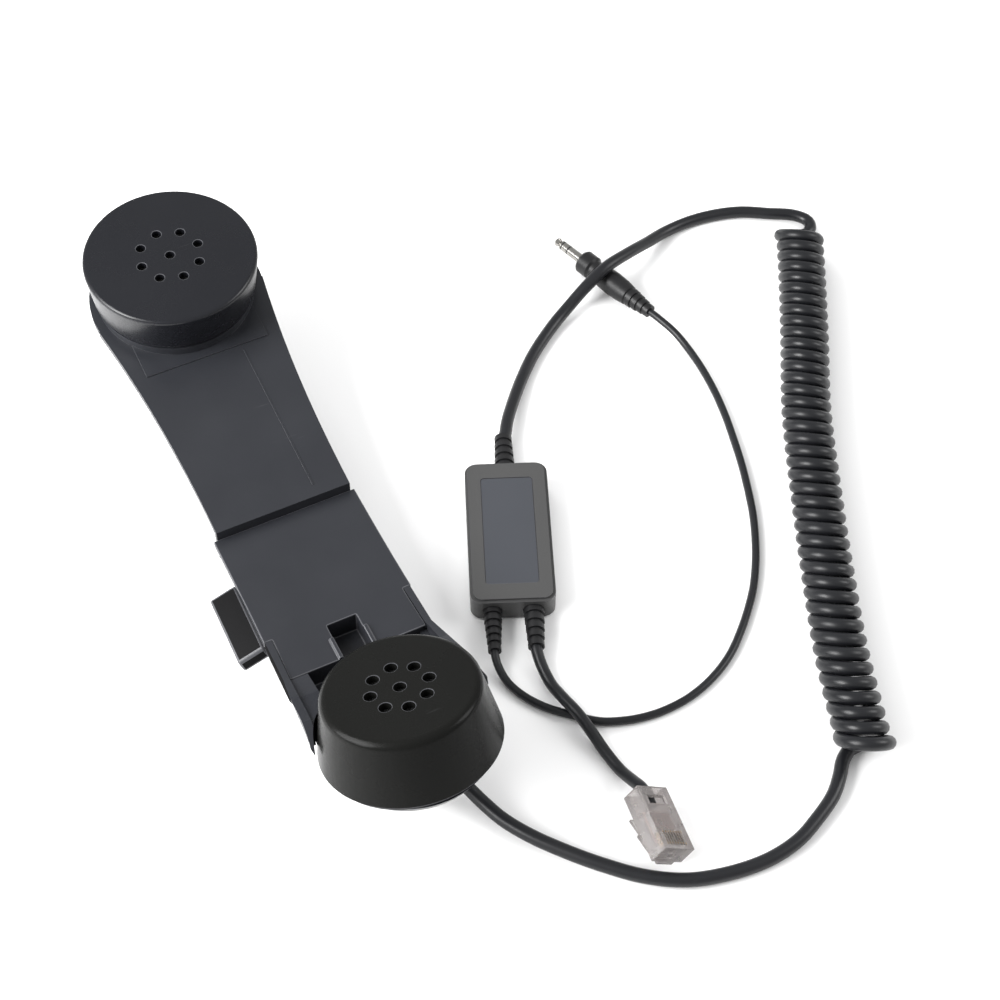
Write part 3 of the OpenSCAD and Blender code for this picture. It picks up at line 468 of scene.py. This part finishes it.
# a cleaned copy of a CAD piece, with its sharp edges rounded over
def softenedCopy(nodeName, newName, width):
    source = nodes[nodeName]
    piece = source.copy()
    piece.data = source.data.copy()
    piece.name = newName
    bpy.context.collection.objects.link(piece)
    makeActive(piece)
    bpy.ops.object.mode_set(mode="EDIT")
    bpy.ops.mesh.select_all(action="SELECT")
    bpy.ops.mesh.remove_doubles(threshold=softening["mergeWithin"])
    bpy.ops.mesh.dissolve_limited(angle_limit=math.radians(softening["flatAngle"]))
    bpy.ops.object.mode_set(mode="OBJECT")
    bevel = piece.modifiers.new("edges", "BEVEL")
    bevel.width = width * mm
    bevel.segments = softening["segments"]
    bevel.limit_method = "ANGLE"
    bevel.angle_limit = math.radians(softening["edgeAngle"])
    bevel.use_clamp_overlap = True
    bevel.miter_outer = "MITER_ARC"
    bevel.material = 1  # the rounded edges take wornEdge
    piece.data.materials.append(wornEdge)
    bpy.ops.object.modifier_apply(modifier="edges")
    bpy.ops.object.shade_smooth_by_angle(angle=math.radians(softening["smoothAngle"]))
    even = piece.modifiers.new("evenNormals", "WEIGHTED_NORMAL")
    even.keep_sharp = True
    bpy.ops.object.modifier_apply(modifier="evenNormals")
    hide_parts(nodeName)
    return piece


# CAD node, new name, width of the rounded edge in millimetres, body
softened = [
    ("back_shell", "backShell", 0.35, "handset"), ("ear_cover", "earCover", 0.35, "handset"),
    ("grip_cover", "gripCover", 0.35, "handset"), ("key_plate", "keyPlate", 0.25, "key"),
    ("key_block", "keyBlock", 0.9, "key"), ("box_top", "boxTop", 0.5, "handset"),
    ("box_base", "boxBase", 0.4, "handset"), ("box_panel", "boxPanel", 0.1, "handset"),
    ("ear_cap", "earCap", 0.2, "handset"), ("mouth_cap", "mouthCap", 0.2, "handset")]
for nodeName, newName, width, body in softened:
    piece = softenedCopy(nodeName, newName, width)
    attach(piece, body)
print("shells softened")

# smooth shading on the round CAD pieces that stay
for node in nodes.values():
    if not node.hide_render:
        makeActive(node)
        bpy.ops.object.shade_smooth_by_angle(angle=math.radians(32))

# floor and light
studio = {"floorSize": 6, "floorColour": (0.93, 0.93, 0.93), "floorRoughness": 0.7,
          "floorSpecular": 0.2, "world": 0.62}
deselectAll()
bpy.ops.mesh.primitive_plane_add(size=studio["floorSize"], location=(0, 0, 0))
floor = bpy.context.object
floor.name = "studioFloor"
floorMat, floorTree, floorShader = newMaterial("paleFloor")
setInputs(floorShader, **{"Base Color": (*studio["floorColour"], 1),
                          "Roughness": studio["floorRoughness"],
                          "Specular IOR Level": studio["floorSpecular"]})
giveMaterial(floor, floorMat)

world = bpy.data.worlds.new("studioWorld")
bpy.context.scene.world = world
world.use_nodes = True
background = world.node_tree.nodes["Background"]
setInputs(background, Color=(1, 1, 1, 1), Strength=studio["world"])

# the back lamp only lights the floor and lifts the blacks, with no sheen of its own
lamps = {
    "backLight": {"location": (0.35, 1.2, 1.0), "target": (0.08, 0, 0), "size": (1.2, 0.7),
                  "power": 14, "sheen": False},
    "sideLight": {"location": (-1.1, -0.1, 0.75), "target": (0.05, 0, 0), "size": (0.5, 0.7),
                  "power": 16, "sheen": True},
    "lowLight": {"location": (-0.42, 0.1, 0.3), "target": (-0.22, 0.06, 0), "size": (0.25, 0.5),
                 "power": 5, "sheen": True},
    "rightLight": {"location": (1.2, -0.4, 0.8), "target": (0.05, 0, 0), "size": (0.6, 0.8),
                   "power": 9, "sheen": True}}
for lampName, setup in lamps.items():
    deselectAll()
    bpy.ops.object.light_add(type="AREA", location=setup["location"])
    lamp = bpy.context.object
    lamp.name = lampName
    lamp.data.shape = "RECTANGLE"
    lamp.data.size, lamp.data.size_y = setup["size"]
    lamp.data.energy = setup["power"]
    lamp.visible_glossy = setup["sheen"]
    aimAt(lamp, setup["target"])
bpy.context.scene.view_settings.view_transform = "Standard"
print("studio lit")
